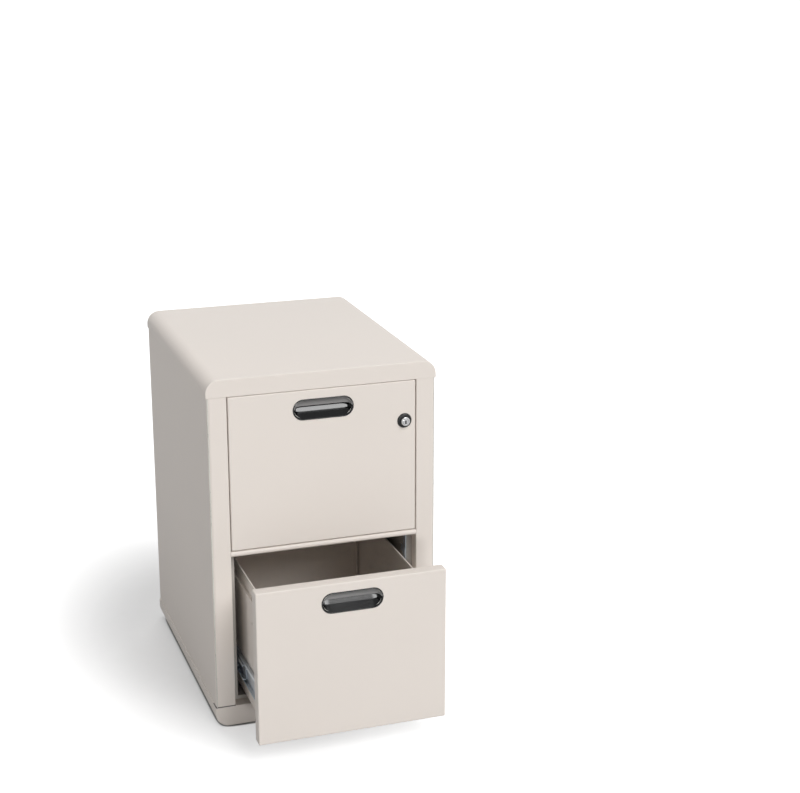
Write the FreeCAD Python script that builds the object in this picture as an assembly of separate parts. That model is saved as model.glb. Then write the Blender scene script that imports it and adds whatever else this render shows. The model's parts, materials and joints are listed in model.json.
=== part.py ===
"""Insulated two-drawer filing cabinet, in millimetres.

The origin is the middle of the base on the floor. The front faces -Y, +X is the right-hand side seen from
the front, and +Z is up. The upper drawer is shut and the lower drawer is pulled out by LOWER_OUT.
"""
import FreeCAD, Part
import math
import os

from FreeCAD import Vector

X_AXIS = Vector(1, 0, 0)
Y_AXIS = Vector(0, 1, 0)
Z_AXIS = Vector(0, 0, 1)
ORIGIN = Vector(0, 0, 0)

# Whole cabinet
WIDTH = 450.8
DEPTH = 562.0
HEIGHT = 704.8
FRONT = -DEPTH / 2
BACK = DEPTH / 2

# Base and cap casings: rounded along both sides
BASE_TOP = 43.0
CAP_BOTTOM = 670.2
CASING_ROUND = 26.0
CASING_SHEET = 1.5
CASING_ARRIS = 2.0
LIP = 14.0

# Side panels, each with its front post and the return into the drawer opening
PANEL_X = WIDTH / 2 - 1.5
PANEL_FRONT = FRONT + 0.5
PANEL_SHEET = 1.2
POST_BEND = 7.0
OPENING_X = 185.7
REAR_FLANGE = 20.0
STEP_Y = FRONT + 26.0

# Cross rail between the two drawers
RAIL_TOP = 363.1
RAIL_BOTTOM = 352.3

# Cavities behind the drawer openings
CAVITY_X = 175.0
CAVITY_BACK = 226.0
CAVITY_STEP = 7.0
LINER_SHEET = 1.0

# Drawer travel and the photographed place of the lower drawer
TRAVEL = 400.0
LOWER_OUT = 176.0

# Drawer heads
HEAD_X = OPENING_X - 1.7
HEAD_GAP = 1.5
HEAD_HEIGHT = 304.6
HEAD_FRONT = FRONT + 0.4
HEAD_REAR = FRONT + 24.0
HEAD_SHEET = 1.2
HEAD_ARRIS = 2.5
PLUG_X = 161.2
PLUG_LOW = 16.0
PLUG_HIGH = 292.0
PLUG_DEPTH = 28.0
COVER_SHEET = 1.0

# Drawer bodies, heights measured from the bottom of the opening
SIDE_X = 162.3
SIDE_LOW = 14.0
SIDE_HIGH = 240.0
SIDE_SHEET = 0.9
SIDE_FOOT = 12.0
BOTTOM_X = SIDE_X - 2.1
FOLDER_RAIL_X = 158.0
FOLDER_RAIL_HIGH = 267.0
DRAWER_BACK = 204.0
RIVET_Y = (-161.0, 120.0)
RIVET_HEIGHT = 194.0
RIVET_RADIUS = 3.6
RIVET_PROUD = 1.3

# Pull: a moulded recess in each head
PULL_HEIGHT = 268.1
PULL_LENGTH = 120.0
PULL_DEPTH = 41.0
PULL_PROUD = 1.3
PULL_WALL = 2.2
HOOD_EDGE = (7.0, 4.7)
SCOOP_EDGE = (12.0, -5.8)

# Slides, one on each side of each drawer
SLIDE_HEIGHT = 72.0
SLIDE_HALF = 22.5
SLIDE_SHEET = 1.2
SLIDE_BEND = 2.4
CABINET_SLIDE = (-236.0, 205.0)
MIDDLE_SLIDE = (-201.0, 199.0)
DRAWER_SLIDE = (-254.0, 202.0)
OUTER_CAGE = (-95.0, 95.0)
INNER_CAGE = (-130.0, 70.0)
BALL_RADIUS = 2.3
BALLS_IN_ROW = 3
BALL_FACETS = 6
MIDDLE_SHARE = 0.5
OUTER_CAGE_SHARE = 0.75
INNER_CAGE_SHARE = 0.25

# Lock on the upper drawer
LOCK_X = 161.5
LOCK_Z = 590.0
LOCK_TRAVEL = 8.0
BEZEL_RADIUS = 14.7
BEZEL_PROUD = 3.0
SLEEVE_RADIUS = 11.5
BARREL_RADIUS = 8.4
BARREL_PROUD = 9.0
KEY_PLUG_RADIUS = 5.8

# Lock bar beside the right-hand cavity wall
BAR_X = (173.2, 174.8)
BAR_Y = (-253.6, -239.6)
BAR_Z = (195.0, 650.0)
CATCH_HEIGHT = 170.0
CATCH_SHEET = 1.6
CLEARANCE = 0.3

UPPER_FLOOR = RAIL_TOP
LOWER_FLOOR = BASE_TOP


def block(x, y, z):
    """A box between pairs of limits."""
    low = Vector(min(x), min(y), min(z))
    return Part.makeBox(abs(x[1] - x[0]), abs(y[1] - y[0]), abs(z[1] - z[0]), low)


def mirrored(shape):
    """The same piece on the other side of the cabinet."""
    return shape.mirror(ORIGIN, X_AXIS)


def prism(points, sweep):
    """A straight-sided outline, swept."""
    return Part.Face(Part.makePolygon(points + points[:1])).extrude(sweep)


def run(edges, start, end):
    """Adds a straight edge, unless it has no length."""
    if start.distanceToPoint(end) > 1e-6:
        edges.append(Part.makeLine(start, end))


def creased(path, sheet, sweep):
    """Thin sheet with sharp folds, swept; the sheet lies to the left of the path, looking against the sweep."""
    along = Vector(sweep).normalize()
    legs = [(b - a).normalize() for a, b in zip(path, path[1:])]
    lefts = [along.cross(leg) for leg in legs]
    far = [path[0] + lefts[0] * sheet]
    for corner, left, next_left in zip(path[1:-1], lefts, lefts[1:]):
        far.append(corner + (left + next_left) * (sheet / (1 + left.dot(next_left))))
    far.append(path[-1] + lefts[-1] * sheet)
    return prism(path + far[::-1], sweep)


def folded(path, sheet, bend, sweep):
    """Like creased, but each inner corner of the path is a bend with the given inside radius."""
    along = Vector(sweep).normalize()
    legs = [(b - a).normalize() for a, b in zip(path, path[1:])]
    lefts = [along.cross(leg) for leg in legs]
    near, far = path[0], path[0] + lefts[0] * sheet
    near_edges, far_edges = [], []
    for corner, leg, nxt, left, next_left in zip(path[1:-1], legs, legs[1:], lefts, lefts[1:]):
        turn = leg.getAngle(nxt)
        side = 1 if along.dot(leg.cross(nxt)) > 0 else -1
        near_radius = bend + sheet if side > 0 else bend
        far_radius = near_radius - side * sheet
        setback = near_radius * math.tan(turn / 2)
        start = corner - leg * setback
        end = corner + nxt * setback
        centre = start + left * (side * near_radius)
        outward = (corner - centre).normalize()
        far_start, far_end = start + left * sheet, end + next_left * sheet
        run(near_edges, near, start)
        run(far_edges, far, far_start)
        near_edges.append(Part.Arc(start, centre + outward * near_radius, end).toShape())
        far_edges.append(Part.Arc(far_start, centre + outward * far_radius, far_end).toShape())
        near, far = end, far_end
    last = path[-1] + lefts[-1] * sheet
    run(near_edges, near, path[-1])
    run(far_edges, far, last)
    caps = [Part.makeLine(path[-1], last), Part.makeLine(path[0], path[0] + lefts[0] * sheet)]
    outline = Part.Wire(Part.__sortEdges__(near_edges + far_edges + caps))
    return Part.Face(outline).extrude(sweep)


def stadium(length, height, y, z):
    """A slot outline with round ends, in a plane that faces the front."""
    radius = height / 2
    half = length / 2 - radius
    top, bottom = z + radius, z - radius
    edges = [
        Part.makeLine(Vector(-half, y, top), Vector(half, y, top)),
        Part.Arc(Vector(half, y, top), Vector(half + radius, y, z), Vector(half, y, bottom)).toShape(),
        Part.makeLine(Vector(half, y, bottom), Vector(-half, y, bottom)),
        Part.Arc(Vector(-half, y, bottom), Vector(-half - radius, y, z), Vector(-half, y, top)).toShape(),
    ]
    return Part.Wire(edges)


def slot_funnel(length, wide, narrow, y, z):
    """A recess with round ends that narrows evenly with depth."""
    half = length / 2 - wide
    depth = y[1] - y[0]
    cones = [Part.makeCone(wide, narrow, depth, Vector(x, y[0], z), Y_AXIS) for x in (-half, half)]
    corners = [(y[0], wide), (y[1], narrow), (y[1], -narrow), (y[0], -wide)]
    middle = prism([Vector(-half, at, z + up) for at, up in corners], Vector(2 * half, 0, 0))
    return middle.fuse(cones).removeSplitter()


def slot_block(length, height, y, z):
    """A solid with a stadium outline between two depths."""
    return Part.Face(stadium(length, height, y[0], z)).extrude(Vector(0, y[1] - y[0], 0))


def disc(radius, x, y, z):
    """A round bar along Y between two depths."""
    return Part.makeCylinder(radius, y[1] - y[0], Vector(x, y[0], z), Y_AXIS)


def casing_section(half, edge, crown, corner, y):
    """Outline of a casing seen from the front: flat on the open side, rounded towards its crown."""
    up = 1 if crown > edge else -1
    spring = crown - up * corner
    slant = corner * math.sqrt(0.5)
    mid_x, mid_z = half - corner + slant, spring + up * slant
    edges = [
        Part.makeLine(Vector(-half, y, edge), Vector(-half, y, spring)),
        Part.Arc(Vector(-half, y, spring), Vector(-mid_x, y, mid_z), Vector(corner - half, y, crown)).toShape(),
        Part.makeLine(Vector(corner - half, y, crown), Vector(half - corner, y, crown)),
        Part.Arc(Vector(half - corner, y, crown), Vector(mid_x, y, mid_z), Vector(half, y, spring)).toShape(),
        Part.makeLine(Vector(half, y, spring), Vector(half, y, edge)),
        Part.makeLine(Vector(half, y, edge), Vector(-half, y, edge)),
    ]
    return Part.Face(Part.Wire(edges))


def outer_edges(shape, edge, y):
    """The arris round one end of a casing, without the open side."""
    def on_end(e):
        box = e.BoundBox
        along_open_side = box.ZLength < 0.01 and abs(box.ZMin - edge) < 0.01
        return box.YLength < 0.01 and abs(box.YMin - y) < 0.01 and not along_open_side
    return [e for e in shape.Edges if on_end(e)]


def casing(edge, crown):
    """The base or the cap, as its sheet casing and the insulation poured into it."""
    up = 1 if crown > edge else -1
    outer = casing_section(WIDTH / 2, edge, crown, CASING_ROUND, FRONT).extrude(Vector(0, DEPTH, 0))
    outer = outer.makeFillet(CASING_ARRIS, outer_edges(outer, edge, FRONT))
    outer = outer.makeChamfer(CASING_ARRIS / 2, outer_edges(outer, edge, BACK))
    inner = casing_section(
        WIDTH / 2 - CASING_SHEET, edge + up * CASING_SHEET, crown - up * CASING_SHEET,
        CASING_ROUND - CASING_SHEET, FRONT + CASING_SHEET,
    ).extrude(Vector(0, DEPTH - 2 * CASING_SHEET, 0))
    mouth = block(
        (-PANEL_X + LIP, PANEL_X - LIP), (STEP_Y, BACK - LIP), (edge, edge + up * CASING_SHEET),
    )
    fill = inner.fuse(mouth).removeSplitter()
    return outer.cut(fill), fill


def side_panel():
    """Left side panel: rear flange, side, front post and the return beside the drawers."""
    path = [
        Vector(-PANEL_X + REAR_FLANGE, BACK - PANEL_SHEET, BASE_TOP),
        Vector(-PANEL_X, BACK - PANEL_SHEET, BASE_TOP),
        Vector(-PANEL_X, PANEL_FRONT, BASE_TOP),
        Vector(-OPENING_X, PANEL_FRONT, BASE_TOP),
        Vector(-OPENING_X, STEP_Y, BASE_TOP),
    ]
    wall = Vector(0, 0, CAP_BOTTOM - BASE_TOP)
    panel = folded(path[:3], PANEL_SHEET, 2.0, wall)
    post = folded(path[1:], PANEL_SHEET, POST_BEND, wall)
    sharp = folded(path[2:], PANEL_SHEET, 1.0, wall)
    middle_x = -(PANEL_X + OPENING_X) / 2
    side_part = panel.common(block((-WIDTH, WIDTH), (0, BACK), (0, HEIGHT)))
    corner_part = post.common(block((-WIDTH, middle_x), (FRONT, 0), (0, HEIGHT)))
    return_part = sharp.common(block((middle_x, 0), (FRONT, 0), (0, HEIGHT)))
    return side_part.fuse([corner_part, return_part]).removeSplitter()


def back_panel():
    """Back sheet, lapped over the side panels' rear flanges."""
    half = PANEL_X - 3.0
    return block((-half, half), (BACK - PANEL_SHEET, BACK), (BASE_TOP + 1.0, CAP_BOTTOM - 1.0))


def cross_rail():
    """Round-nosed channel between the drawers."""
    path = [
        Vector(-OPENING_X, STEP_Y, RAIL_TOP),
        Vector(-OPENING_X, FRONT, RAIL_TOP),
        Vector(-OPENING_X, FRONT, RAIL_BOTTOM),
        Vector(-OPENING_X, STEP_Y, RAIL_BOTTOM),
    ]
    return folded(path, PANEL_SHEET, 4.0, Vector(2 * OPENING_X, 0, 0))


def bar_slot():
    """The way for the lock bar through the divider between the cavities."""
    return block(
        (BAR_X[0] - CLEARANCE, CAVITY_X), (BAR_Y[0] - 0.2, BAR_Y[1] + 1.0),
        (RAIL_BOTTOM - 20, RAIL_TOP + 20),
    )


def cavity(floor, ceiling, grow=0.0):
    """The hollow behind one opening, or the space that its liner takes up."""
    return block(
        (-CAVITY_X - grow, CAVITY_X + grow), (STEP_Y, CAVITY_BACK + grow),
        (floor + CAVITY_STEP - grow, ceiling - CAVITY_STEP + grow),
    )


def liner(floor, ceiling):
    """Sheet box open to the front, with the flange that closes the insulation round the opening."""
    lap = PANEL_SHEET
    flange = block(
        (-OPENING_X - lap, OPENING_X + lap), (STEP_Y, STEP_Y + LINER_SHEET),
        (max(floor - lap, BASE_TOP), min(ceiling + lap, CAP_BOTTOM)),
    )
    return cavity(floor, ceiling, LINER_SHEET).fuse(flange).cut([cavity(floor, ceiling), bar_slot()])


def body_insulation():
    """Insulation poured round both liners and into the front posts."""
    inside = PANEL_X - PANEL_SHEET
    core = block((-inside, inside), (STEP_Y + LINER_SHEET, BACK - 2 * PANEL_SHEET), (BASE_TOP, CAP_BOTTOM))
    posts = [
        block(
            (side * inside, side * (OPENING_X + PANEL_SHEET)), (PANEL_FRONT + PANEL_SHEET, STEP_Y + LINER_SHEET),
            (BASE_TOP, CAP_BOTTOM),
        )
        for side in (-1, 1)
    ]
    flanges = block(
        (-OPENING_X - PANEL_SHEET, OPENING_X + PANEL_SHEET), (STEP_Y, STEP_Y + LINER_SHEET), (BASE_TOP, CAP_BOTTOM),
    )
    hollows = [
        cavity(LOWER_FLOOR, RAIL_BOTTOM, LINER_SHEET), cavity(UPPER_FLOOR, CAP_BOTTOM, LINER_SHEET),
        bar_slot(), flanges, side_panel(), mirrored(side_panel()),
    ]
    return core.fuse(posts).cut(hollows).removeSplitter()


def head_shell(floor, shift, lock):
    """Outer pan of a drawer head, open at the rear, pierced for the pull and the lock."""
    low, high = floor + HEAD_GAP, floor + HEAD_GAP + HEAD_HEIGHT
    front, rear = HEAD_FRONT + shift, HEAD_REAR + shift
    pan = block((-HEAD_X, HEAD_X), (front, rear), (low, high))
    rim = [e for e in pan.Edges if e.BoundBox.YLength < 0.01 and abs(e.BoundBox.YMin - front) < 0.01]
    pan = pan.makeFillet(HEAD_ARRIS, rim)
    inside = HEAD_X - HEAD_SHEET
    hollow = block((-inside, inside), (front + HEAD_SHEET, rear), (low + HEAD_SHEET, high - HEAD_SHEET))
    cuts = [hollow, pull_hole(floor, shift)]
    if lock:
        cuts.append(disc(SLEEVE_RADIUS, LOCK_X, (front - 1, front + 5), LOCK_Z))
    return pan.cut(cuts)


def pull_hole(floor, shift):
    """Space that the pull's cup takes up in a head."""
    y = HEAD_FRONT + shift
    return slot_block(PULL_LENGTH - 8, PULL_DEPTH - 8, (y - 1, HEAD_REAR - 2 + shift), floor + PULL_HEIGHT)


def head_plug(floor, shift, grow):
    """The raised inner part of a head that fits the cavity, or its outside when grown."""
    rear = HEAD_REAR + shift
    return block(
        (-PLUG_X + grow, PLUG_X - grow), (rear - COVER_SHEET, rear + PLUG_DEPTH - grow),
        (floor + PLUG_LOW + grow, floor + PLUG_HIGH - grow),
    )


def tail_slot(shift):
    """The way for the lock's tail through the back of the head."""
    return block((162.6, 173.0), (HEAD_REAR - 22 + shift, HEAD_REAR + 1 + shift), (LOCK_Z - 6, LOCK_Z + 6))


def head_cover(floor, shift, lock):
    """Inner casing of a head: a plate that closes the pan, pressed out into a plug for the cavity."""
    rear = HEAD_REAR + shift
    inside = HEAD_X - HEAD_SHEET
    low, high = floor + HEAD_GAP + HEAD_SHEET, floor + HEAD_GAP + HEAD_HEIGHT - HEAD_SHEET
    plate = block((-inside, inside), (rear - COVER_SHEET, rear), (low, high))
    cuts = [head_plug(floor, shift, COVER_SHEET)]
    if lock:
        cuts.append(tail_slot(shift))
    return plate.fuse(head_plug(floor, shift, 0)).cut(cuts).removeSplitter()


def head_insulation(floor, shift, lock):
    """Insulation inside a head, cast round the pull and the lock."""
    inside = HEAD_X - HEAD_SHEET
    low, high = floor + HEAD_GAP + HEAD_SHEET, floor + HEAD_GAP + HEAD_HEIGHT - HEAD_SHEET
    pan = block(
        (-inside, inside), (HEAD_FRONT + HEAD_SHEET + shift, HEAD_REAR - COVER_SHEET + shift), (low, high),
    )
    cuts = [pull_hole(floor, shift)]
    if lock:
        cuts.append(disc(SLEEVE_RADIUS, LOCK_X, (HEAD_FRONT + shift, HEAD_REAR - COVER_SHEET + shift), LOCK_Z))
        cuts.append(tail_slot(shift))
    return pan.fuse(head_plug(floor, shift, COVER_SHEET)).cut(cuts).removeSplitter()


def pull(floor, shift):
    """Moulded pull: a flange and a cup whose sloped hood hides the finger hold behind it."""
    y = HEAD_FRONT + shift
    z = floor + PULL_HEIGHT
    lip = y - PULL_PROUD
    flange = slot_block(PULL_LENGTH, PULL_DEPTH, (lip, y), z)
    rim = [e for e in flange.Edges if e.BoundBox.YMax < lip + 0.01]
    flange = flange.makeChamfer(0.8, rim)
    cup_rear = HEAD_REAR - 2 + shift
    cup = slot_block(PULL_LENGTH - 8, PULL_DEPTH - 8, (y, cup_rear), z)
    floor_depth = cup_rear - PULL_WALL - lip
    mouth = PULL_DEPTH / 2 - 2
    funnel = slot_funnel(PULL_LENGTH - 4, mouth, mouth - 7.0, (lip, lip + floor_depth), z)
    hood_and_scoop = [
        (0.0, mouth), HOOD_EDGE, (HOOD_EDGE[0] + 2, HOOD_EDGE[1] + 0.6), (HOOD_EDGE[0] + 4, 9.0),
        (floor_depth, 9.0), (floor_depth, 3.0), SCOOP_EDGE, (0.0, -mouth),
    ]
    outline = [Vector(-PULL_LENGTH / 2, lip + depth, z + height) for depth, height in hood_and_scoop]
    wedge = prism(outline, Vector(PULL_LENGTH, 0, 0))
    return flange.fuse(cup).cut(funnel.common(wedge)).removeSplitter()


def drawer_side(floor, shift):
    """Left drawer side with the foot that carries the bottom."""
    y = HEAD_REAR + shift
    path = [
        Vector(-SIDE_X + SIDE_FOOT, y, floor + SIDE_LOW),
        Vector(-SIDE_X, y, floor + SIDE_LOW),
        Vector(-SIDE_X, y, floor + SIDE_HIGH),
    ]
    return folded(path, SIDE_SHEET, 1.0, Vector(0, DRAWER_BACK - HEAD_REAR, 0))


def folder_rail(floor, shift):
    """Left folder rail: laps over the side, steps inward and stands up to a folded top edge."""
    y = HEAD_REAR + PLUG_DEPTH + shift
    outside = -SIDE_X - SIDE_SHEET - 0.1
    step = floor + SIDE_HIGH + SIDE_SHEET + 0.1
    top = floor + FOLDER_RAIL_HIGH
    path = [
        Vector(outside, y, step - 6.0),
        Vector(outside, y, step),
        Vector(-FOLDER_RAIL_X, y, step),
        Vector(-FOLDER_RAIL_X, y, top),
        Vector(-FOLDER_RAIL_X + 2.4, y, top),
        Vector(-FOLDER_RAIL_X + 2.4, y, top - 7.0),
    ]
    return creased(path, SIDE_SHEET, Vector(0, DRAWER_BACK - HEAD_REAR - PLUG_DEPTH, 0))


def drawer_bottom(floor, shift):
    """Bottom sheet with turned-up edges and three pressed ribs."""
    half = BOTTOM_X
    y = HEAD_REAR + PLUG_DEPTH + shift
    z = floor + SIDE_LOW + SIDE_SHEET
    path = [Vector(half, y, z + 12), Vector(half, y, z)]
    for x in (90, 0, -90):
        path += [Vector(x + 14, y, z), Vector(x + 10, y, z + 3), Vector(x - 10, y, z + 3), Vector(x - 14, y, z)]
    path += [Vector(-half, y, z), Vector(-half, y, z + 12)]
    return creased(path, SIDE_SHEET, Vector(0, DRAWER_BACK - HEAD_REAR - PLUG_DEPTH - 1.5, 0))


def drawer_back(floor, shift):
    """Back sheet of a drawer, folded forward at both ends."""
    half = BOTTOM_X - SIDE_SHEET - 0.1
    low = floor + SIDE_LOW + 2 * SIDE_SHEET + 3.2
    y = DRAWER_BACK + shift
    path = [
        Vector(half, y - 12, low), Vector(half, y, low), Vector(-half, y, low), Vector(-half, y - 12, low),
    ]
    return creased(path, SIDE_SHEET, Vector(0, 0, floor + SIDE_HIGH - 4 - low))


def drawer_bumpers(floor, shift):
    """Four rubber pads that meet the step round the opening."""
    rear = HEAD_REAR + shift
    thick = STEP_Y - HEAD_REAR - 0.2
    places = [(x, floor + z) for x in (-179.2, 179.2) for z in (20.0, 288.0)]
    return [block((x - 3, x + 3), (rear, rear + thick), (z - 7, z + 7)) for x, z in places]


def side_rivets(floor, shift):
    """Rivets that hold the legs of the folder rails to the drawer sides."""
    turns = [math.radians(22.5 + 45 * i) for i in range(8)]
    heads = []
    for side in (-1, 1):
        for y in RIVET_Y:
            points = [
                Vector(side * SIDE_X, y + shift + RIVET_RADIUS * math.cos(a),
                       floor + RIVET_HEIGHT + RIVET_RADIUS * math.sin(a))
                for a in turns
            ]
            heads.append(prism(points, Vector(side * RIVET_PROUD, 0, 0)))
    return heads


def drawer_catch(floor, shift):
    """Bent lug on the right-hand drawer side that the lock bar's finger holds."""
    z = floor + CATCH_HEIGHT + 0.6
    path = [
        Vector(SIDE_X + 8.5, -247.5 + shift, z),
        Vector(SIDE_X + CATCH_SHEET, -247.5 + shift, z),
        Vector(SIDE_X + CATCH_SHEET, -218.0 + shift, z),
    ]
    return creased(path, CATCH_SHEET, Vector(0, 0, 11.0))


def bevelled(path, cut):
    """A path with each inner corner replaced by two points, at the given distance before and after it."""
    points = [path[0]]
    for before, corner, after in zip(path, path[1:], path[2:]):
        points.append(corner + (before - corner).normalize() * cut)
        points.append(corner + (after - corner).normalize() * cut)
    return points + [path[-1]]


def slide_member(profile, floor, span, shift):
    """Left slide member: a profile of distances from the drawer side and heights, swept front to back.

    There are twelve of them, so that each bend is one flat that touches the real arc in its middle.
    """
    middle = floor + SLIDE_HEIGHT
    path = [Vector(-SIDE_X - w, span[0] + shift, middle + v) for w, v in profile]
    flat = (SLIDE_BEND + SLIDE_SHEET) * (2 - math.sqrt(2))
    return creased(bevelled(path, flat), SLIDE_SHEET, Vector(0, span[1] - span[0], 0))


def channel(near, far, half, hook):
    """Path of a channel whose web lies at one depth and whose flanges end in hooks, or in nothing."""
    top = [(far, half - hook), (far, half)] if hook else [(far, half)]
    points = top + [(near, half)]
    return points + [(w, -v) for w, v in reversed(points)]


def drawer_slide(floor, shift):
    """Outer channel, on the drawer side, with both edges curled round the outer balls."""
    return slide_member(channel(0.0, 7.8, SLIDE_HALF, 4.3), floor, DRAWER_SLIDE, shift)


def middle_slide(floor, shift):
    """Channel between the two rows of balls on each edge."""
    return slide_member(channel(1.9, 10.5, 16.1, 4.1), floor, MIDDLE_SLIDE, shift)


def cabinet_slide(floor):
    """Inner channel, on the cavity wall, facing the drawer."""
    return slide_member(channel(12.7, 4.2, 9.7, 0)[::-1], floor, CABINET_SLIDE, 0)


def ball(centre):
    """A slide ball with few faces, because there are many of them: stacked cones of flat sides."""
    rings = []
    for step in (-1, 1):
        lean = math.radians(30) * step
        z = BALL_RADIUS * math.sin(lean)
        reach = BALL_RADIUS * math.cos(lean)
        turns = [2 * math.pi * i / BALL_FACETS for i in range(BALL_FACETS)]
        rings.append([centre + Vector(reach * math.cos(a), reach * math.sin(a), z) for a in turns])
    poles = [centre - Z_AXIS * BALL_RADIUS, centre + Z_AXIS * BALL_RADIUS]
    faces = []
    for i in range(BALL_FACETS):
        j = (i + 1) % BALL_FACETS
        low, high = rings
        faces.append(Part.Face(Part.makePolygon([low[i], low[j], high[j], high[i], low[i]])))
        faces.append(Part.Face(Part.makePolygon([poles[0], low[j], low[i], poles[0]])))
        faces.append(Part.Face(Part.makePolygon([poles[1], high[i], high[j], poles[1]])))
    return Part.Solid(Part.Shell(faces))


def cage(floor, span, shift, w, v, half_width):
    """Ball cages of both slides of a drawer: a ribbon with its balls above and below each middle slide."""
    middle = floor + SLIDE_HEIGHT
    pieces = []
    pitch = (span[1] - span[0]) / BALLS_IN_ROW
    for x in (-SIDE_X - w, SIDE_X + w):
        for z in (middle - v, middle + v):
            ribbon = block((x - half_width, x + half_width), (span[0] + shift, span[1] + shift), (z - 0.3, z + 0.3))
            balls = [
                ball(Vector(x, span[0] + shift + pitch * (i + 0.5), z)) for i in range(BALLS_IN_ROW)
            ]
            pieces.append(ribbon.fuse(balls))
    return pieces


def slide_screws():
    """Two hexagon screw heads inside each cabinet slide member."""
    heads = []
    for floor in (UPPER_FLOOR, LOWER_FLOOR):
        for side in (-1, 1):
            x = side * (SIDE_X + 12.7 - SLIDE_SHEET)
            for y in (-205.0, 170.0):
                turns = [math.radians(60 * i) for i in range(6)]
                points = [
                    Vector(x, y + 4.0 * math.cos(a), floor + SLIDE_HEIGHT + 4.0 * math.sin(a)) for a in turns
                ]
                heads.append(prism(points, Vector(-side * 1.7, 0, 0)))
    return heads


def lock_bezel():
    """Ring on the face of the head with the sleeve that guides the barrel."""
    front = HEAD_FRONT
    bore, end = BARREL_RADIUS + 0.3, HEAD_REAR - 13
    profile = [
        (bore, front - BEZEL_PROUD), (BEZEL_RADIUS - 2.0, front - BEZEL_PROUD), (BEZEL_RADIUS, front),
        (SLEEVE_RADIUS, front), (SLEEVE_RADIUS, end), (bore, end),
    ]
    face = Part.Face(Part.makePolygon([Vector(LOCK_X + r, y, LOCK_Z) for r, y in profile + profile[:1]]))
    return face.revolve(Vector(LOCK_X, 0, LOCK_Z), Y_AXIS, 360)


def lock_plunger():
    """Barrel that is pushed in to lock, with the cranked tail that lifts the lock bar."""
    face = HEAD_FRONT - BARREL_PROUD
    rear = HEAD_REAR - 12.5
    barrel = disc(BARREL_RADIUS, LOCK_X, (face, rear), LOCK_Z)
    barrel = barrel.cut(disc(KEY_PLUG_RADIUS + 0.1, LOCK_X, (face, face + 14), LOCK_Z))
    tip = HEAD_REAR + 11
    crank = block((LOCK_X - 4, 171.0), (rear, rear + 3), (LOCK_Z - 4, LOCK_Z + 4))
    outline = [(rear, -4), (tip, -4), (tip, -1), (tip - 5, 4), (rear, 4)]
    blade = prism([Vector(164.5, y, LOCK_Z + up) for y, up in outline], Vector(6.5, 0, 0))
    return barrel.fuse([crank, blade]).removeSplitter()


def key_plug():
    """Plug that the key turns, with its key slot."""
    face = HEAD_FRONT - BARREL_PROUD
    plug = disc(KEY_PLUG_RADIUS, LOCK_X, (face - 0.3, face + 13.5), LOCK_Z)
    slot = block((LOCK_X - 0.9, LOCK_X + 0.9), (face - 1, face + 4), (LOCK_Z - 4.2, LOCK_Z + 2.6))
    return plug.cut(slot)


def lock_bar():
    """Flat bar with a finger for each drawer's catch and the sloped cam that the tail lifts."""
    bar = block(BAR_X, BAR_Y, BAR_Z)
    fingers = [
        block((BAR_X[0] + 1, SIDE_X + 3.5), (BAR_Y[0], BAR_Y[0] + 4), (floor + CATCH_HEIGHT - 10, floor + CATCH_HEIGHT))
        for floor in (LOWER_FLOOR, UPPER_FLOOR)
    ]
    # The slope faces forward and down, and meets the tail's chamfer with a little clearance.
    gap = CLEARANCE * math.sqrt(2)
    reach = HEAD_REAR + 11 + LOCK_Z - 1 + gap
    start, end = HEAD_REAR + 6, BAR_Y[1]
    cam = prism(
        [
            Vector(BAR_X[0] + 1, start, reach - start), Vector(BAR_X[0] + 1, end, reach - end),
            Vector(BAR_X[0] + 1, end, LOCK_Z + 16), Vector(BAR_X[0] + 1, start, LOCK_Z + 16),
        ],
        Vector(164.5 - BAR_X[0] - 1, 0, 0),
    )
    return bar.fuse(fingers + [cam]).removeSplitter()


def lock_bar_guides():
    """Two clips that hold the bar to the wall, and the stop that it rests on."""
    inner = BAR_X[0] - CLEARANCE - 1.0
    clips = []
    for z in (300.0, 620.0):
        path = [
            Vector(inner, BAR_Y[0], z), Vector(inner, BAR_Y[1] + 1.4, z),
            Vector(CAVITY_X - 1.0, BAR_Y[1] + 3.6, z), Vector(CAVITY_X - 1.0, BAR_Y[1] + 17.0, z),
        ]
        clips.append(creased(path[::-1], 1.0, Vector(0, 0, 14.0)))
    stop = block((BAR_X[0] - 2.0, CAVITY_X), BAR_Y, (BAR_Z[0] - 3.0, BAR_Z[0] - 0.1))
    return clips + [stop]


def save(name, shapes):
    """Writes one node, checking that it holds only closed solids."""
    solids = [solid for shape in shapes for solid in shape.Solids]
    for solid in solids:
        if not solid.isValid() or solid.Volume <= 0:
            raise ValueError(f"{name} has a bad solid")
    shape = solids[0] if len(solids) == 1 else Part.makeCompound(solids)
    shape.exportStep(f"parts/{name}.step")


def pair(name, left):
    """Writes a piece and its mirror image on the right-hand side."""
    save(f"{name}_left", [left])
    save(f"{name}_right", [mirrored(left)])


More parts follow.
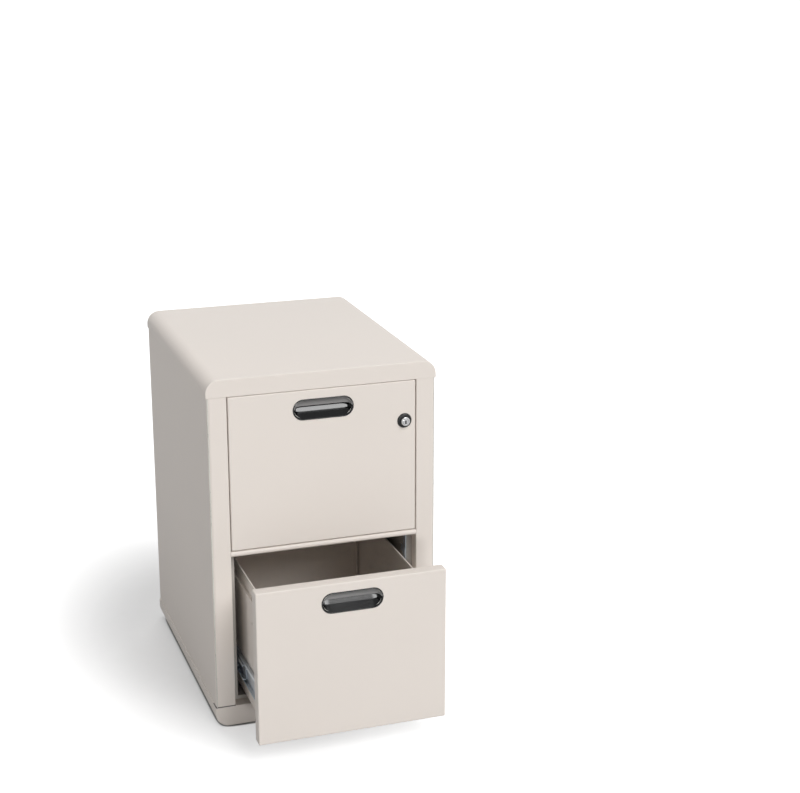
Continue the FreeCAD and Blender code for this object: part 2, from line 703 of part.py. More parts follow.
def save_drawer(name, floor, shift, lock):
    """Writes every piece of a drawer and of its slides."""
    save(f"{name}_head_shell", [head_shell(floor, shift, lock)])
    save(f"{name}_head_cover", [head_cover(floor, shift, lock)])
    save(f"{name}_head_insulation", [head_insulation(floor, shift, lock)])
    save(f"{name}_pull", [pull(floor, shift)])
    pair(f"{name}_side", drawer_side(floor, shift))
    pair(f"{name}_folder_rail", folder_rail(floor, shift))
    save(f"{name}_bottom", [drawer_bottom(floor, shift)])
    save(f"{name}_back", [drawer_back(floor, shift)])
    save(f"{name}_bumpers", drawer_bumpers(floor, shift))
    save(f"{name}_catch", [drawer_catch(floor, shift)])
    save(f"{name}_rivets", side_rivets(floor, shift))
    pair(f"{name}_drawer_slide", drawer_slide(floor, shift))
    pair(f"{name}_middle_slide", middle_slide(floor, shift * MIDDLE_SHARE))
    pair(f"{name}_cabinet_slide", cabinet_slide(floor))
    save(f"{name}_outer_cages", cage(floor, OUTER_CAGE, shift * OUTER_CAGE_SHARE, 3.9, 18.7, 2.2))
    save(f"{name}_inner_cages", cage(floor, INNER_CAGE, shift * INNER_CAGE_SHARE, 6.2, 12.3, 2.6))


def main():
    os.makedirs("parts", exist_ok=True)
    base_shell, base_fill = casing(BASE_TOP, 0.0)
    cap_shell, cap_fill = casing(CAP_BOTTOM, HEIGHT)
    save("base_casing", [base_shell])
    save("base_insulation", [base_fill])
    save("cap_casing", [cap_shell])
    save("cap_insulation", [cap_fill])
    pair("side_panel", side_panel())
    save("back_panel", [back_panel()])
    save("cross_rail", [cross_rail()])
    save("upper_liner", [liner(UPPER_FLOOR, CAP_BOTTOM)])
    save("lower_liner", [liner(LOWER_FLOOR, RAIL_BOTTOM)])
    save("body_insulation", [body_insulation()])
    save("slide_screws", slide_screws())
    save("lock_bar", [lock_bar()])
    save("lock_bar_guides", lock_bar_guides())
    save("lock_bezel", [lock_bezel()])
    save("lock_plunger", [lock_plunger()])
    save("key_plug", [key_plug()])
    save_drawer("upper", UPPER_FLOOR, 0.0, True)
    save_drawer("lower", LOWER_FLOOR, -LOWER_OUT, False)


main()
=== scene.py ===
"""Looks of the insulated two-drawer filing cabinet, built round the frame that the CAD part gives.

Lengths are in metres, in the frame's axes: the front faces -Y, +X is the right-hand side seen from the front
and +Z is up. A shape is worked out as a whole numpy grid and stands exactly where its CAD node is.
"""
import json

import bmesh
import bpy
import numpy as np
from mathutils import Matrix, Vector

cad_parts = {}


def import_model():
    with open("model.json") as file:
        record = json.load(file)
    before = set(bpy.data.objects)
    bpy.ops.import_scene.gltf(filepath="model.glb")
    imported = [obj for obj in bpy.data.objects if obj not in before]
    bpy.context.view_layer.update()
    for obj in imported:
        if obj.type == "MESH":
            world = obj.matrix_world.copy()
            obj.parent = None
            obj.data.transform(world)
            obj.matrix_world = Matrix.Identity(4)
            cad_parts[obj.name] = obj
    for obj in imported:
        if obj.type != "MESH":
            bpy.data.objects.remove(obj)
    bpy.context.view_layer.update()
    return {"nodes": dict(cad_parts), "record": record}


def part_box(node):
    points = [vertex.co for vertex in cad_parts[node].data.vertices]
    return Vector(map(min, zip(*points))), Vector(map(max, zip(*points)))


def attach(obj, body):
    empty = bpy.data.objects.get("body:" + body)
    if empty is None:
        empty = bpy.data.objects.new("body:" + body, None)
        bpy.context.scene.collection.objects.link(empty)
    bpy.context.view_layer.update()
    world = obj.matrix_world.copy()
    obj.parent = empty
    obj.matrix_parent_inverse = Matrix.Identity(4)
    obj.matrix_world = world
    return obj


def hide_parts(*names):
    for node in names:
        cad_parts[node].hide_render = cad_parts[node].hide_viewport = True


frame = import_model()

MM = 0.001
QUARTER = np.pi / 2
X, Y, Z = 0, 1, 2
DRAWERS = ("upper", "lower")
SIDES = ("left", "right")


# Shapes

def box(node):
    """Lowest and highest corner of a CAD node, as arrays."""
    low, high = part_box(node)
    return np.array(low), np.array(high)


def unit(vectors):
    """Vectors divided by their own lengths."""
    return vectors / np.linalg.norm(vectors, axis=-1, keepdims=True)


def rounded(corners, radii, closed, steps=8):
    """A line through corners, with each inner corner turned into an arc.

    The arc's centre lies on the corner's bisector, radius / sin(half angle) from the corner. A point of the
    arc is the centre plus the spokes to its two ends, weighted by sin((1 - s) turn) and sin(s turn) and
    divided by sin(turn). A point just outside each end keeps the shading of the straight run flat.
    """
    corners = np.asarray(corners, float)
    inner = corners if closed else corners[1:-1]
    before = np.roll(corners, 1, 0) if closed else corners[:-2]
    after = np.roll(corners, -1, 0) if closed else corners[2:]
    radii = np.broadcast_to(np.asarray(radii, float), len(inner))[:, None]
    back, ahead = unit(before - inner), unit(after - inner)
    half = np.arccos(np.clip((back * ahead).sum(1, keepdims=True), -1, 1)) / 2
    setback = radii / np.tan(half)
    centre = inner + unit(back + ahead) * radii / np.sin(half)
    start, end = inner + back * setback, inner + ahead * setback
    share = np.linspace(0, 1, steps + 1)[None, :, None]
    turn = (np.pi - 2 * half)[:, :, None]
    from_start = (start - centre)[:, None] * np.sin((1 - share) * turn)
    from_end = (end - centre)[:, None] * np.sin(share * turn)
    arc = centre[:, None] + (from_start + from_end) / np.sin(turn)
    guard = 0.05 * radii[:, None]
    parts = [start[:, None] + back[:, None] * guard, arc, end[:, None] + ahead[:, None] * guard]
    line = np.concatenate(parts, axis=1).reshape(-1, 2)
    return line if closed else np.concatenate([corners[:1], line, corners[-1:]])


def lifted(section, axis, at):
    """Points of a flat section, placed at one value of the axis that it doesn't have."""
    return np.insert(section, axis, at, axis=-1)


def folded_sheet(corners, radius, sheet, axis, span, steps=6):
    """Bent sheet: the rounded line is one face, and the line moved along its left normal is the other.

    Returns grids for both faces, the two cut ends and the two long edges.
    """
    near = rounded(corners, radius, closed=False, steps=steps)
    runs = unit(np.diff(near, axis=0))
    along = unit(np.concatenate([runs[:1], runs[:-1] + runs[1:], runs[-1:]]))
    far = near + sheet * np.stack([-along[:, 1], along[:, 0]], axis=1)
    faces = [np.stack([lifted(line, axis, at) for at in span]) for line in (near, far)]
    ends = [np.stack([faces[0][i], faces[1][i]]) for i in (0, 1)]
    edges = [np.stack([faces[0][:, i], faces[1][:, i]]) for i in (0, -1)]
    return faces + ends + edges


def turned(profile, centre, steps=64):
    """A profile of (radius, y) turned about an axis along Y: x = r cos a, z = r sin a."""
    profile = np.asarray(profile, float)
    angle = np.linspace(0, 2 * np.pi, steps + 1)
    radius, y = profile[:, :1], profile[:, 1:]
    return np.stack(
        [centre[0] + radius * np.cos(angle), y + 0 * angle, centre[1] + radius * np.sin(angle)], axis=-1
    )


def extruded(outline, axis, span, edge):
    """Closed outline carried along an axis, with a bevel round both ends and fans that close it.

    The bevel draws the outline in towards its middle by the same distance, edge, on every side.
    """
    outline = np.asarray(outline, float)
    middle, half = (outline.max(0) + outline.min(0)) / 2, (outline.max(0) - outline.min(0)) / 2
    small = middle + (outline - middle) * (1 - edge / half)
    stops = [
        (small * 0 + middle, span[0]), (small, span[0]), (outline, span[0] + edge),
        (outline, span[1] - edge), (small, span[1]), (small * 0 + middle, span[1]),
    ]
    rings = np.stack([lifted(line, axis, at) for line, at in stops])
    return np.concatenate([rings, rings[:, :1]], axis=1)


def rectangle(low, high, radius=0.5 * MM):
    """Outline of a rectangle with rounded corners."""
    corners = [(low[0], low[1]), (high[0], low[1]), (high[0], high[1]), (low[0], high[1])]
    return rounded(corners, radius, closed=True, steps=4)


# A round head as (share of its radius, share of its height), from near the top to the middle of its foot.
DOME = [(0.35, 0.95), (0.6, 0.84), (0.8, 0.64), (0.93, 0.40), (1.0, 0.12), (1.0, 0.0), (0.0, 0.0)]
PIT_FLOOR, PIT_BRIM = 0.35, 0.97


def domes(places, radius, height, out, pit, steps=20):
    """Round heads on faces across X or Y: the profile DOME turned about the axis through each place.

    A place is a point on the face, out is the direction in which the heads stand up, and a pit is the radius
    of a blind hole in the middle, as a socket or a tubular rivet has.
    """
    hole = pit / radius
    profile = np.array([(0.0, PIT_FLOOR), (hole, PIT_FLOOR), (hole, PIT_BRIM), *DOME])
    share, rise = profile[:, 0], profile[:, 1]
    out = np.asarray(out, float)
    across = np.array([[0, 0, 1], np.cross(out, [0, 0, 1])])
    angle = np.linspace(0, 2 * np.pi, steps + 1)
    circle = np.cos(angle)[:, None] * across[0] + np.sin(angle)[:, None] * across[1]
    ring = radius * share[:, None, None] * circle + height * rise[:, None, None] * out
    return [np.asarray(place) + ring for place in places]


def quarter(radius, steps=6):
    """Quarter of a circle as (inset from the side, depth from the face), from the face to the side."""
    angle = np.linspace(0, QUARTER, steps + 1)
    return np.stack([radius * (1 - np.sin(angle)), radius * (1 - np.cos(angle))], axis=1)


CREASE = 32
MERGE_WITHIN = 2e-6
NO_LENGTH = 1e-7


def mesh_object(name, grids, crease=CREASE):
    """One mesh of several grids, merged where they meet and sharp where it turns by over crease degrees."""
    starts = np.cumsum([0] + [g.shape[0] * g.shape[1] for g in grids])
    quads = []
    for grid, start in zip(grids, starts):
        index = start + np.arange(grid.shape[0] * grid.shape[1]).reshape(grid.shape[:2])
        corners = [index[:-1, :-1], index[:-1, 1:], index[1:, 1:], index[1:, :-1]]
        quads.append(np.stack(corners, axis=-1).reshape(-1, 4))
    mesh = bpy.data.meshes.new(name)
    points = np.concatenate([g.reshape(-1, 3) for g in grids])
    mesh.from_pydata(points.tolist(), [], np.concatenate(quads).tolist())
    edit = bmesh.new()
    edit.from_mesh(mesh)
    bmesh.ops.remove_doubles(edit, verts=edit.verts, dist=MERGE_WITHIN)
    bmesh.ops.dissolve_degenerate(edit, dist=NO_LENGTH, edges=edit.edges)
    bmesh.ops.recalc_face_normals(edit, faces=edit.faces)
    edit.to_mesh(mesh)
    edit.free()
    mesh.shade_smooth()
    mesh.set_sharp_from_angle(angle=np.radians(crease))
    piece = bpy.data.objects.new(name, mesh)
    bpy.context.scene.collection.objects.link(piece)
    return piece


def add(name, grids, body, slot, *stands_for, finish=None, crease=CREASE):
    """A finished piece on its body, in the finish of its slot unless it has one of its own."""
    piece = mesh_object(name, grids, crease)
    piece.data.materials.append(finish or FINISHES[slot])
    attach(piece, body)
    if stands_for:
        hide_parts(*stands_for)


# Finishes

class Value:
    """A node's output, on which arithmetic adds Math nodes."""

    def __init__(self, finish, socket):
        self.finish = finish
        self.socket = socket

    def math(self, operation, *values):
        """A Math node on the given values."""
        return self.finish.node("ShaderNodeMath", {"operation": operation}, dict(enumerate(values)))

    def __add__(self, other):
        return self.math("ADD", self, other)

    __radd__ = __add__

    def __sub__(self, other):
        return self.math("SUBTRACT", self, other)

    def __rsub__(self, other):
        return self.math("SUBTRACT", other, self)

    def __mul__(self, other):
        return self.math("MULTIPLY", self, other)

    __rmul__ = __mul__

    def __pow__(self, other):
        return self.math("POWER", self, other)

    def above(self, level, softness):
        """0 below a level and 1 above it, with a soft step between."""
        settings = {"interpolation_type": "SMOOTHSTEP"}
        limits = {"Value": self, "From Min": level - softness, "From Max": level + softness}
        return self.finish.node("ShaderNodeMapRange", settings, limits)


class Finish:
    """The nodes of a material or of the world."""

    def __init__(self, owner, coordinates="Object"):
        self.owner = owner
        owner.use_nodes = True
        self.tree = owner.node_tree
        self.tree.nodes.clear()
        self.place = self.node("ShaderNodeTexCoord", {}, {}, coordinates)

    def node(self, kind, settings, inputs, output=0):
        """Adds a node: its settings first, then a value or a link on each named or numbered socket."""
        node = self.tree.nodes.new(kind)
        for key, value in settings.items():
            setattr(node, key, value)
        for key, value in inputs.items():
            if isinstance(value, Value):
                self.tree.links.new(value.socket, node.inputs[key])
            else:
                node.inputs[key].default_value = value
        return Value(self, node.outputs[output]) if node.outputs else None

    def vector(self, operation, *values, output=0):
        """Arithmetic on vectors."""
        return self.node("ShaderNodeVectorMath", {"operation": operation}, dict(enumerate(values)), output)

    def rays(self):
        """For camera, glossy and transmission rays in turn, 1 on a ray of that kind and 0 on others."""
        kinds = ("Camera", "Glossy", "Transmission")
        return [self.node("ShaderNodeLightPath", {}, {}, f"Is {kind} Ray") for kind in kinds]

    def noise(self, scale, detail, stretch=(1, 1, 1), roughness=0.5):
        """Noise in the frame's metres; a stretch below 1 draws it out along that axis."""
        place = self.vector("MULTIPLY", self.place, stretch)
        inputs = {"Vector": place, "Scale": scale, "Detail": detail, "Roughness": roughness}
        return self.node("ShaderNodeTexNoise", {}, inputs)

    def blend(self, share, first, second):
        """A colour between two others."""
        low, high = (colour if isinstance(colour, Value) else (*colour, 1.0) for colour in (first, second))
        return self.node("ShaderNodeMix", {"data_type": "RGBA"}, {0: share, 6: low, 7: high}, 2)

    def surface(self, height, depth, **sockets):
        """Ends the material: sockets of the shader by name, and a bump of the given depth."""
        bump = self.node("ShaderNodeBump", {}, {"Height": height, "Distance": depth, "Strength": 1.0})
        inputs = {key.replace("_", " "): value for key, value in sockets.items()}
        shader = self.node("ShaderNodeBsdfPrincipled", {}, {"Normal": bump, **inputs})
        self.node("ShaderNodeOutputMaterial", {}, {"Surface": shader})
        return self.owner


def scaled(colour, factor):
    """A colour times a factor, held at or below 1."""
    return tuple(min(1.0, share * factor) for share in colour)


WAVES = 9.0
# Half width and darkness of the painted shade along the joint under the posts.
SEAM_SHADE_WIDTH = 1.0 * MM
SEAM_SHADE = 0.2


def enamel(name, colour, roughness, peel, shaded_seam=None):
    """Baked enamel on sheet steel: orange peel, an uneven coat, and faint waves of the sheet.

    The optional last argument is (distance from the middle, y, height) of the inner rear corner of the joint
    under the posts, along which the colour is darkened: painted shade for the shadow in the gap between post
    and base.
    """
    finish = Finish(bpy.data.materials.new(name))
    cloud = finish.noise(4.0, 3.0)
    fleck = finish.noise(1600.0, 1.0)
    skin = finish.noise(520.0, 2.0)
    waves = finish.noise(7.0, 1.0)
    coat = finish.blend(cloud * 0.7 + fleck * 0.3, scaled(colour, 0.965), scaled(colour, 1.035))
    # Painted shade: the colour is darkened in a band along the joint under each post, for the shadow in the
    # gap.
    if shaded_seam:
        inner, rear, level = shaded_seam
        x, y, z = (finish.node("ShaderNodeSeparateXYZ", {}, {0: finish.place}, axis) for axis in "XYZ")
        under_post = x.math("ABSOLUTE", x).above(inner, 0.5 * MM) * (1 - y.above(rear, 1 * MM))
        joint_shade = 1 - z.math("ABSOLUTE", z - level).above(SEAM_SHADE_WIDTH, 0.3 * SEAM_SHADE_WIDTH)
        coat = finish.blend(under_post * joint_shade, coat, scaled(colour, SEAM_SHADE))
    return finish.surface(
        skin * peel + waves * WAVES, 0.02 * MM, Base_Color=coat,
        Roughness=roughness + (cloud - 0.5) * 0.10 + (skin - 0.5) * 0.08,
        Specular_IOR_Level=0.22,
    )


BLUE_BLOOM = (0.50, 0.60, 0.74)


def rolled_zinc(name, colour):
    """Zinc plate on rolled steel: fine lines along Y, and cloudy passivation with a blue bloom."""
    finish = Finish(bpy.data.materials.new(name))
    lines = finish.noise(900.0, 3.0, (1, 0.03, 1), 0.65)
    cloud = finish.noise(60.0, 3.0)
    bloom = (finish.noise(22.0, 2.0) - 0.35) * 0.9
    tint = finish.blend(cloud, scaled(colour, 0.82), scaled(colour, 1.08))
    return finish.surface(
        lines, 0.03 * MM, Metallic=1.0, Base_Color=finish.blend(bloom, tint, BLUE_BLOOM),
        Roughness=0.30 + lines * 0.18 + cloud * 0.08,
    )


def moulded(name, colour, roughness, grain, gloss=0.5):
    """Moulded black plastic with a faint grain and flow marks."""
    finish = Finish(bpy.data.materials.new(name))
    fine = finish.noise(2400.0, 2.0)
    flow = finish.noise(45.0, 2.0, (0.3, 1, 1))
    return finish.surface(
        fine * grain + flow * 2.0, 0.01 * MM,
        Base_Color=finish.blend(flow, scaled(colour, 0.8), scaled(colour, 1.25)),
        Roughness=roughness + (fine - 0.5) * 0.06 + (flow - 0.5) * 0.05, Specular_IOR_Level=gloss,
    )


def polished(name, colour, roughness):
    """Chrome plate with hairline polishing marks and a few handling smears."""
    finish = Finish(bpy.data.materials.new(name))
    marks = finish.noise(1300.0, 2.0, (1, 1, 0.12))
    smear = finish.noise(160.0, 3.0)
    return finish.surface(
        marks, 0.006 * MM, Metallic=1.0, Base_Color=finish.blend(smear, scaled(colour, 0.94), colour),
        Roughness=roughness + marks * 0.06 + smear.above(0.6, 0.1) * 0.08,
    )


def cast_fill(name, colour):
    """Cast mineral fill with sand grains and small air holes."""
    finish = Finish(bpy.data.materials.new(name))
    sand = finish.noise(900.0, 4.0)
    holes = finish.noise(260.0, 1.0).above(0.68, 0.03)
    # The air holes are drawn darker in colour as well as pitted: painted shade in the pits.
    return finish.surface(
        sand - holes * 3.0, 0.3 * MM,
        Base_Color=finish.blend(sand * 0.6 + holes * 0.4, colour, scaled(colour, 0.75)), Roughness=0.92,
    )


def dull_rubber(name, colour):
    """Black rubber with a matt, slightly dusty skin."""
    finish = Finish(bpy.data.materials.new(name))
    dust = finish.noise(300.0, 4.0)
    return finish.surface(
        finish.noise(1800.0, 2.0), 0.03 * MM,
        Base_Color=finish.blend(dust, colour, scaled(colour, 1.9)), Roughness=0.72 + dust * 0.15,
    )


OFF_WHITE = (0.800, 0.738, 0.683)
POST_INNER, POST_REAR = box("side_panel_right")[0][X], box("upper_head_shell")[1][Y]
# Where the body's enamel gets painted shade along the joint between the posts and the base.
BASE_SEAM_SHADE = (POST_INNER, POST_REAR, box("base_casing")[1][Z] + 0.5 * MM)
FINISHES = {
    "body_paint": enamel("body_enamel", OFF_WHITE, 0.42, 1.0, BASE_SEAM_SHADE),
    "head_paint": enamel("head_enamel", OFF_WHITE, 0.38, 0.7),
    "drawer_steel": enamel("drawer_enamel", scaled(OFF_WHITE, 0.97), 0.44, 0.8),
    "liner_steel": enamel("liner_primer", (0.42, 0.40, 0.37), 0.55, 1.2),
    "zinc_steel": rolled_zinc("slide_zinc", (0.62, 0.65, 0.68)),
    "ball_steel": polished("ball_steel", (0.62, 0.63, 0.65), 0.14),
    "insulation": cast_fill("insulation_fill", (0.70, 0.68, 0.63)),
    "pull_plastic": moulded("pull_black", (0.006, 0.006, 0.0065), 0.09, 0.5, 0.68),
    "lock_chrome": polished("lock_chrome", (0.80, 0.80, 0.81), 0.10),
    "lock_black": moulded("lock_black", (0.015, 0.015, 0.016), 0.25, 0.8),
    "pad_rubber": dull_rubber("pad_rubber", (0.022, 0.022, 0.022)),
}
# Painted sheen: a mid-grey copy of the black pull plastic, standing in for the light that the hood catches.
GRIP_PAINTED_SHEEN = moulded("grip_painted_sheen", (0.235, 0.230, 0.228), 0.36, 1.6, 0.9)
SLOT_OF = {entry["node"]: entry["material_slot"] for entry in frame["record"]["subparts"]}


def dress_nodes():
    """Gives every CAD node the finish of its slot."""
    for name, node in frame["nodes"].items():
        node.data.materials.clear()
        node.data.materials.append(FINISHES[SLOT_OF[name]])


# Casings, panels and rail

CASING_ROUND = 26 * MM
SEAM_ROUND = 1.1 * MM
BRIM_SHARE = 0.2
FRONT_ARRIS = 2 * MM
REAR_ARRIS = 1 * MM
FOOT = 2.2 * MM
FOOT_INSET = np.array([CASING_ROUND + 4 * MM, 7 * MM])
PANEL_SHEET = 1.2 * MM
REAR_FLANGE = 20 * MM
PANEL_BENDS = [3.2 * MM, 7 * MM, 2.2 * MM]
RAIL_NOSE = 4.8 * MM


def casing_outline(low, high, crown_up, inset):
    """Rectangle in X and Z with wide corners on its crown side; the open side is drawn in less."""
    open_inset = inset * BRIM_SHARE
    bottom = low[Z] + (open_inset if crown_up else inset)
    top = high[Z] - (inset if crown_up else open_inset)
    left, right = low[X] + inset, high[X] - inset
    wide, tight = CASING_ROUND - inset, SEAM_ROUND
    crown, brim = (top, bottom) if crown_up else (bottom, top)
    corners = [(left, brim), (left, crown), (right, crown), (right, brim)]
    return rounded(corners, [tight, wide, wide, tight], closed=True, steps=14)


def casing(node, crown_up):
    """Cap or base: its outline carried from the middle of the front face over the arris to the back.

    The base stands on a foot plate that is set in all round. A dark line along the floor round it comes from
    the floor's painted contact shadow as well as from the real shade under the base's edges.
    """
    low, high = box(node)
    grids = []
    if not crown_up:
        plate = rectangle(low[:2] + FOOT_INSET, high[:2] - FOOT_INSET)
        grids.append(extruded(plate, Z, (low[Z], low[Z] + 2 * FOOT), 0.3 * MM))
        low = low + (0, 0, FOOT)
    arris = quarter(FRONT_ARRIS)
    rear = quarter(REAR_ARRIS)[::-1]
    insets = np.concatenate([[FRONT_ARRIS + 0.3 * MM], arris[:, 0], rear[:, 0], [REAR_ARRIS + 0.2 * MM]])
    depths = np.concatenate([[low[Y]], low[Y] + arris[:, 1], high[Y] - rear[:, 1], [high[Y]]])
    rings = [lifted(casing_outline(low, high, crown_up, i), Y, y) for i, y in zip(insets, depths)]
    middle = (low + high) / 2
    poles = [rings[0] * 0 + (middle[X], y, middle[Z]) for y in (low[Y], high[Y])]
    rings = np.stack([poles[0], *rings, poles[1]])
    grids.append(np.concatenate([rings, rings[:, :1]], axis=1))
    add(f"{node}_skin", grids, "cabinet", "body_paint", node)


def side_panel(side):
    """Side panel: one sheet folded into rear flange, side, front post and the return beside the drawers."""
    node = f"side_panel_{side}"
    low, high = box(node)
    outer, inner, mirror = (low[X], high[X], 1) if side == "left" else (high[X], low[X], -1)
    front, back = low[Y], high[Y]
    step = box("upper_liner")[0][Y]
    corners = [
        (outer + mirror * REAR_FLANGE, back), (outer, back), (outer, front), (inner, front), (inner, step),
    ]
    grids = folded_sheet(corners, PANEL_BENDS, mirror * PANEL_SHEET, Z, (low[Z], high[Z]), steps=10)
    add(f"{node}_skin", grids, "cabinet", "body_paint", node)


def cross_rail():
    """Round-nosed rail between the drawers: one sheet folded into a channel that is open to the rear."""
    low, high = box("cross_rail")
    corners = [(high[Y], low[Z]), (low[Y], low[Z]), (low[Y], high[Z]), (high[Y], high[Z])]
    grids = folded_sheet(corners, RAIL_NOSE, -PANEL_SHEET, X, (low[X], high[X]), steps=10)
    add("cross_rail_skin", grids, "cabinet", "body_paint", "cross_rail")


# Drawer heads

HEAD_SHEET = 1.2 * MM
HEAD_ARRIS = 2.5 * MM
HEAD_CORNER = 2.2 * MM
PULL_LAP = 1.2 * MM
LONG_RUN = 50 * MM
LONG_RUN_CUTS = 24


def framed(low, high, radius, inset):
    """Rectangle with round corners: points of the full rectangle, drawn in to the smaller one.

    A long straight run is cut into even lengths. A point is held inside the inset rectangle, and what lies
    in a corner is drawn onto the corner's arc.
    """
    corners = [(low[0], low[1]), (high[0], low[1]), (high[0], high[1]), (low[0], high[1])]
    loop = rounded(corners, radius, closed=True)
    runs = []
    for start, end in zip(loop, np.roll(loop, -1, axis=0)):
        cuts = LONG_RUN_CUTS if np.linalg.norm(end - start) > LONG_RUN else 1
        runs.append(np.linspace(start, end, cuts, endpoint=False))
    loop = np.concatenate(runs)
    small_low, small_high = low + inset, high - inset
    bend = max(radius - inset, 0.01 * MM)
    held = np.clip(loop, small_low, small_high)
    core = np.clip(held, small_low + bend, small_high - bend)
    return core + unit(held - core) * bend


def pull_outline(centre, half_length, radius, points):
    """Slot with round ends, met by the rays from its centre through the given points."""
    straight = half_length - radius
    angle = np.linspace(-QUARTER, QUARTER, 200)
    right = np.stack([straight + radius * np.cos(angle), radius * np.sin(angle)], axis=1)
    loop = np.concatenate([right, -right])
    around = np.unwrap(np.arctan2(loop[:, 1], loop[:, 0]))
    rays = points - centre
    towards = np.arctan2(rays[:, 1], rays[:, 0])
    both = [np.interp(towards, around, loop[:, i], period=2 * np.pi) for i in (0, 1)]
    return centre + np.stack(both, axis=1)


def head_shell(name):
    """Pan of a drawer head: from the pull's hole over the face, arris and sides, and back inside.

    Each ring is the face's outline at one depth, and the arris is a quarter circle of (inset, depth). A ring
    just inside the arris keeps the shading of the face flat.
    """
    node = f"{name}_head_shell"
    low, high = box(node)
    pull_low, pull_high = box(f"{name}_pull")
    centre = (pull_low + pull_high)[[X, Z]] / 2
    half_length, half_height = (pull_high - pull_low)[[X, Z]] / 2 - PULL_LAP
    flat_low, flat_high = low[[X, Z]], high[[X, Z]]
    front, rear = low[Y], high[Y]
    arris = [(inset, front + depth) for inset, depth in quarter(HEAD_ARRIS, 8)]
    inside = [(0, rear), (HEAD_SHEET, rear), (HEAD_SHEET, front + HEAD_SHEET)]
    stops = [(HEAD_ARRIS + 0.2 * MM, front), *arris, *inside]
    rings = [lifted(framed(flat_low, flat_high, HEAD_CORNER, inset), Y, y) for inset, y in stops]
    hole = pull_outline(centre, half_length, half_height, framed(flat_low, flat_high, HEAD_CORNER, 0))
    rim = lifted(hole, Y, front)
    rings = np.stack([rim, *rings, lifted(hole, Y, front + HEAD_SHEET), rim])
    grid = np.concatenate([rings, rings[:, :1]], axis=1)
    add(f"{node}_skin", [grid], f"{name}_drawer", "head_paint", node)


# Pulls

PULL_RIM = 2.0 * MM

# Section of the recess as (depth behind the lip, height above the middle), in millimetres.
PULL_GRIP = [(0.3, 18.5), (5.9, 12.6), (7.8, 4.9), (8.3, 5.9)]
PULL_GRIP_BENDS = [18.0, 0.3]
PULL_ROOF = [(8.3, 5.9), (10.5, 10.5), (15.0, 11.5), (18.0, 8.5), (16.6, 3.6)]
PULL_ROOF_BENDS = [2.0, 2.0, 1.5]
PULL_EDGE = (12.2, -6.2)
PULL_MOUTH = (0.3, -18.5)
PULL_BACK = [(1.5, -17.5), (13.0, -10.0), (21.5, 2.0), (21.5, 13.0), (12.0, 15.0), (1.5, 17.5)]
PULL_END_SLOPE = 0.42


def slot_ring(centre, straight, radius, y, steps=24):
    """Slot with round ends as a closed line at one depth."""
    angle = np.linspace(-QUARTER, QUARTER, steps + 1)
    right = np.stack([straight + radius * np.cos(angle), radius * np.sin(angle)], axis=1)
    loop = np.concatenate([right, -right, right[:1]])
    return lifted(centre + loop, Y, y)


def pull(name):
    """Moulded pull: a rolled rim round a recess with a hood above, a flat facet behind and a scoop below.

    The recess is one section in depth and height, carried along X. Towards each round end its height
    shrinks by sqrt(1 - t * t), where t runs from 0 at the end of the straight part to 1 at the tip. Its
    depth shrinks by u * u * (3 - 2 * u), where u runs from 1 down to 0 over the last part of t. The grip on
    the hood's front is a separate piece in a lighter grey satin, painted sheen for the light that the black
    hood catches, and the rest is smooth black.
    """
    node = f"{name}_pull"
    low, high = box(node)
    centre = (low + high)[[X, Z]] / 2
    half_length, half_height = (high - low)[[X, Z]] / 2
    straight = half_length - half_height
    lip = low[Y]
    face = box(f"{name}_head_shell")[0][Y]
    mouth = half_height - PULL_RIM

    corners = [(0, face), (0, lip), (PULL_RIM, lip), (PULL_RIM, face)]
    rim = rounded(corners, [0.9 * MM, 0.45 * MM], closed=False, steps=12)
    ring = np.stack([slot_ring(centre, straight, half_height - inset, y) for inset, y in [*rim, rim[0]]])

    end = np.sin(np.linspace(0, QUARTER, 33))
    t = np.concatenate([-end[::-1], end])
    x = np.sign(t) * straight + t * mouth
    # The two middle values of t are 0, whose sign is 0 too: they are the ends of the straight part.
    x[len(end) - 1], x[len(end)] = -straight, straight
    s = np.sqrt(np.clip(1 - t * t, 0, 1))[:, None]
    u = np.clip((1 - abs(t)) / PULL_END_SLOPE, 0, 1)[:, None]
    depth = u * u * (3 - 2 * u)

    def swept(section):
        """A line of the section, in millimetres, at every x: depth and height times their shares there."""
        back, up = MM * section[:, 0], MM * section[:, 1]
        return np.stack([centre[0] + x[:, None] + 0 * back, lip + back * depth, centre[1] + up * s], axis=-1)

    grip = rounded(PULL_GRIP, PULL_GRIP_BENDS, closed=False, steps=20)
    roof = rounded(PULL_ROOF, PULL_ROOF_BENDS, closed=False, steps=12)
    facet = np.linspace(PULL_ROOF[-1], PULL_EDGE, 5)[1:]
    scoop = np.linspace(PULL_EDGE, PULL_MOUTH, 9)[1:]
    bowl = swept(np.concatenate([roof, facet, scoop, PULL_BACK, grip[:1]]))
    owner = f"{name}_drawer"
    add(f"{node}_skin", [ring, bowl], owner, "pull_plastic", node, crease=9.5)
    # The grip is drawn in the painted-sheen grey, not in the pull's black.
    add(f"{node}_grip", [swept(grip)], owner, "pull_plastic", node, finish=GRIP_PAINTED_SHEEN, crease=40)


# Lock

BEZEL_BEVEL = 1.6 * MM
BARREL = 8.5 * MM
PLUG = 5.8 * MM
CRANK_BEHIND = 11.5 * MM
CRANK_SHARE = 0.476
CRANK_THICK = 3 * MM
BLADE_WIDE = 6.5 * MM
BLADE_SLOPE = 5 * MM
BLADE_TIP = 1 * MM
KEY_SLOT = ((-1.4 * MM, 1.4 * MM), (-5.1 * MM, 2.1 * MM))
KEY_SLOT_DEPTH = 0.9 * MM


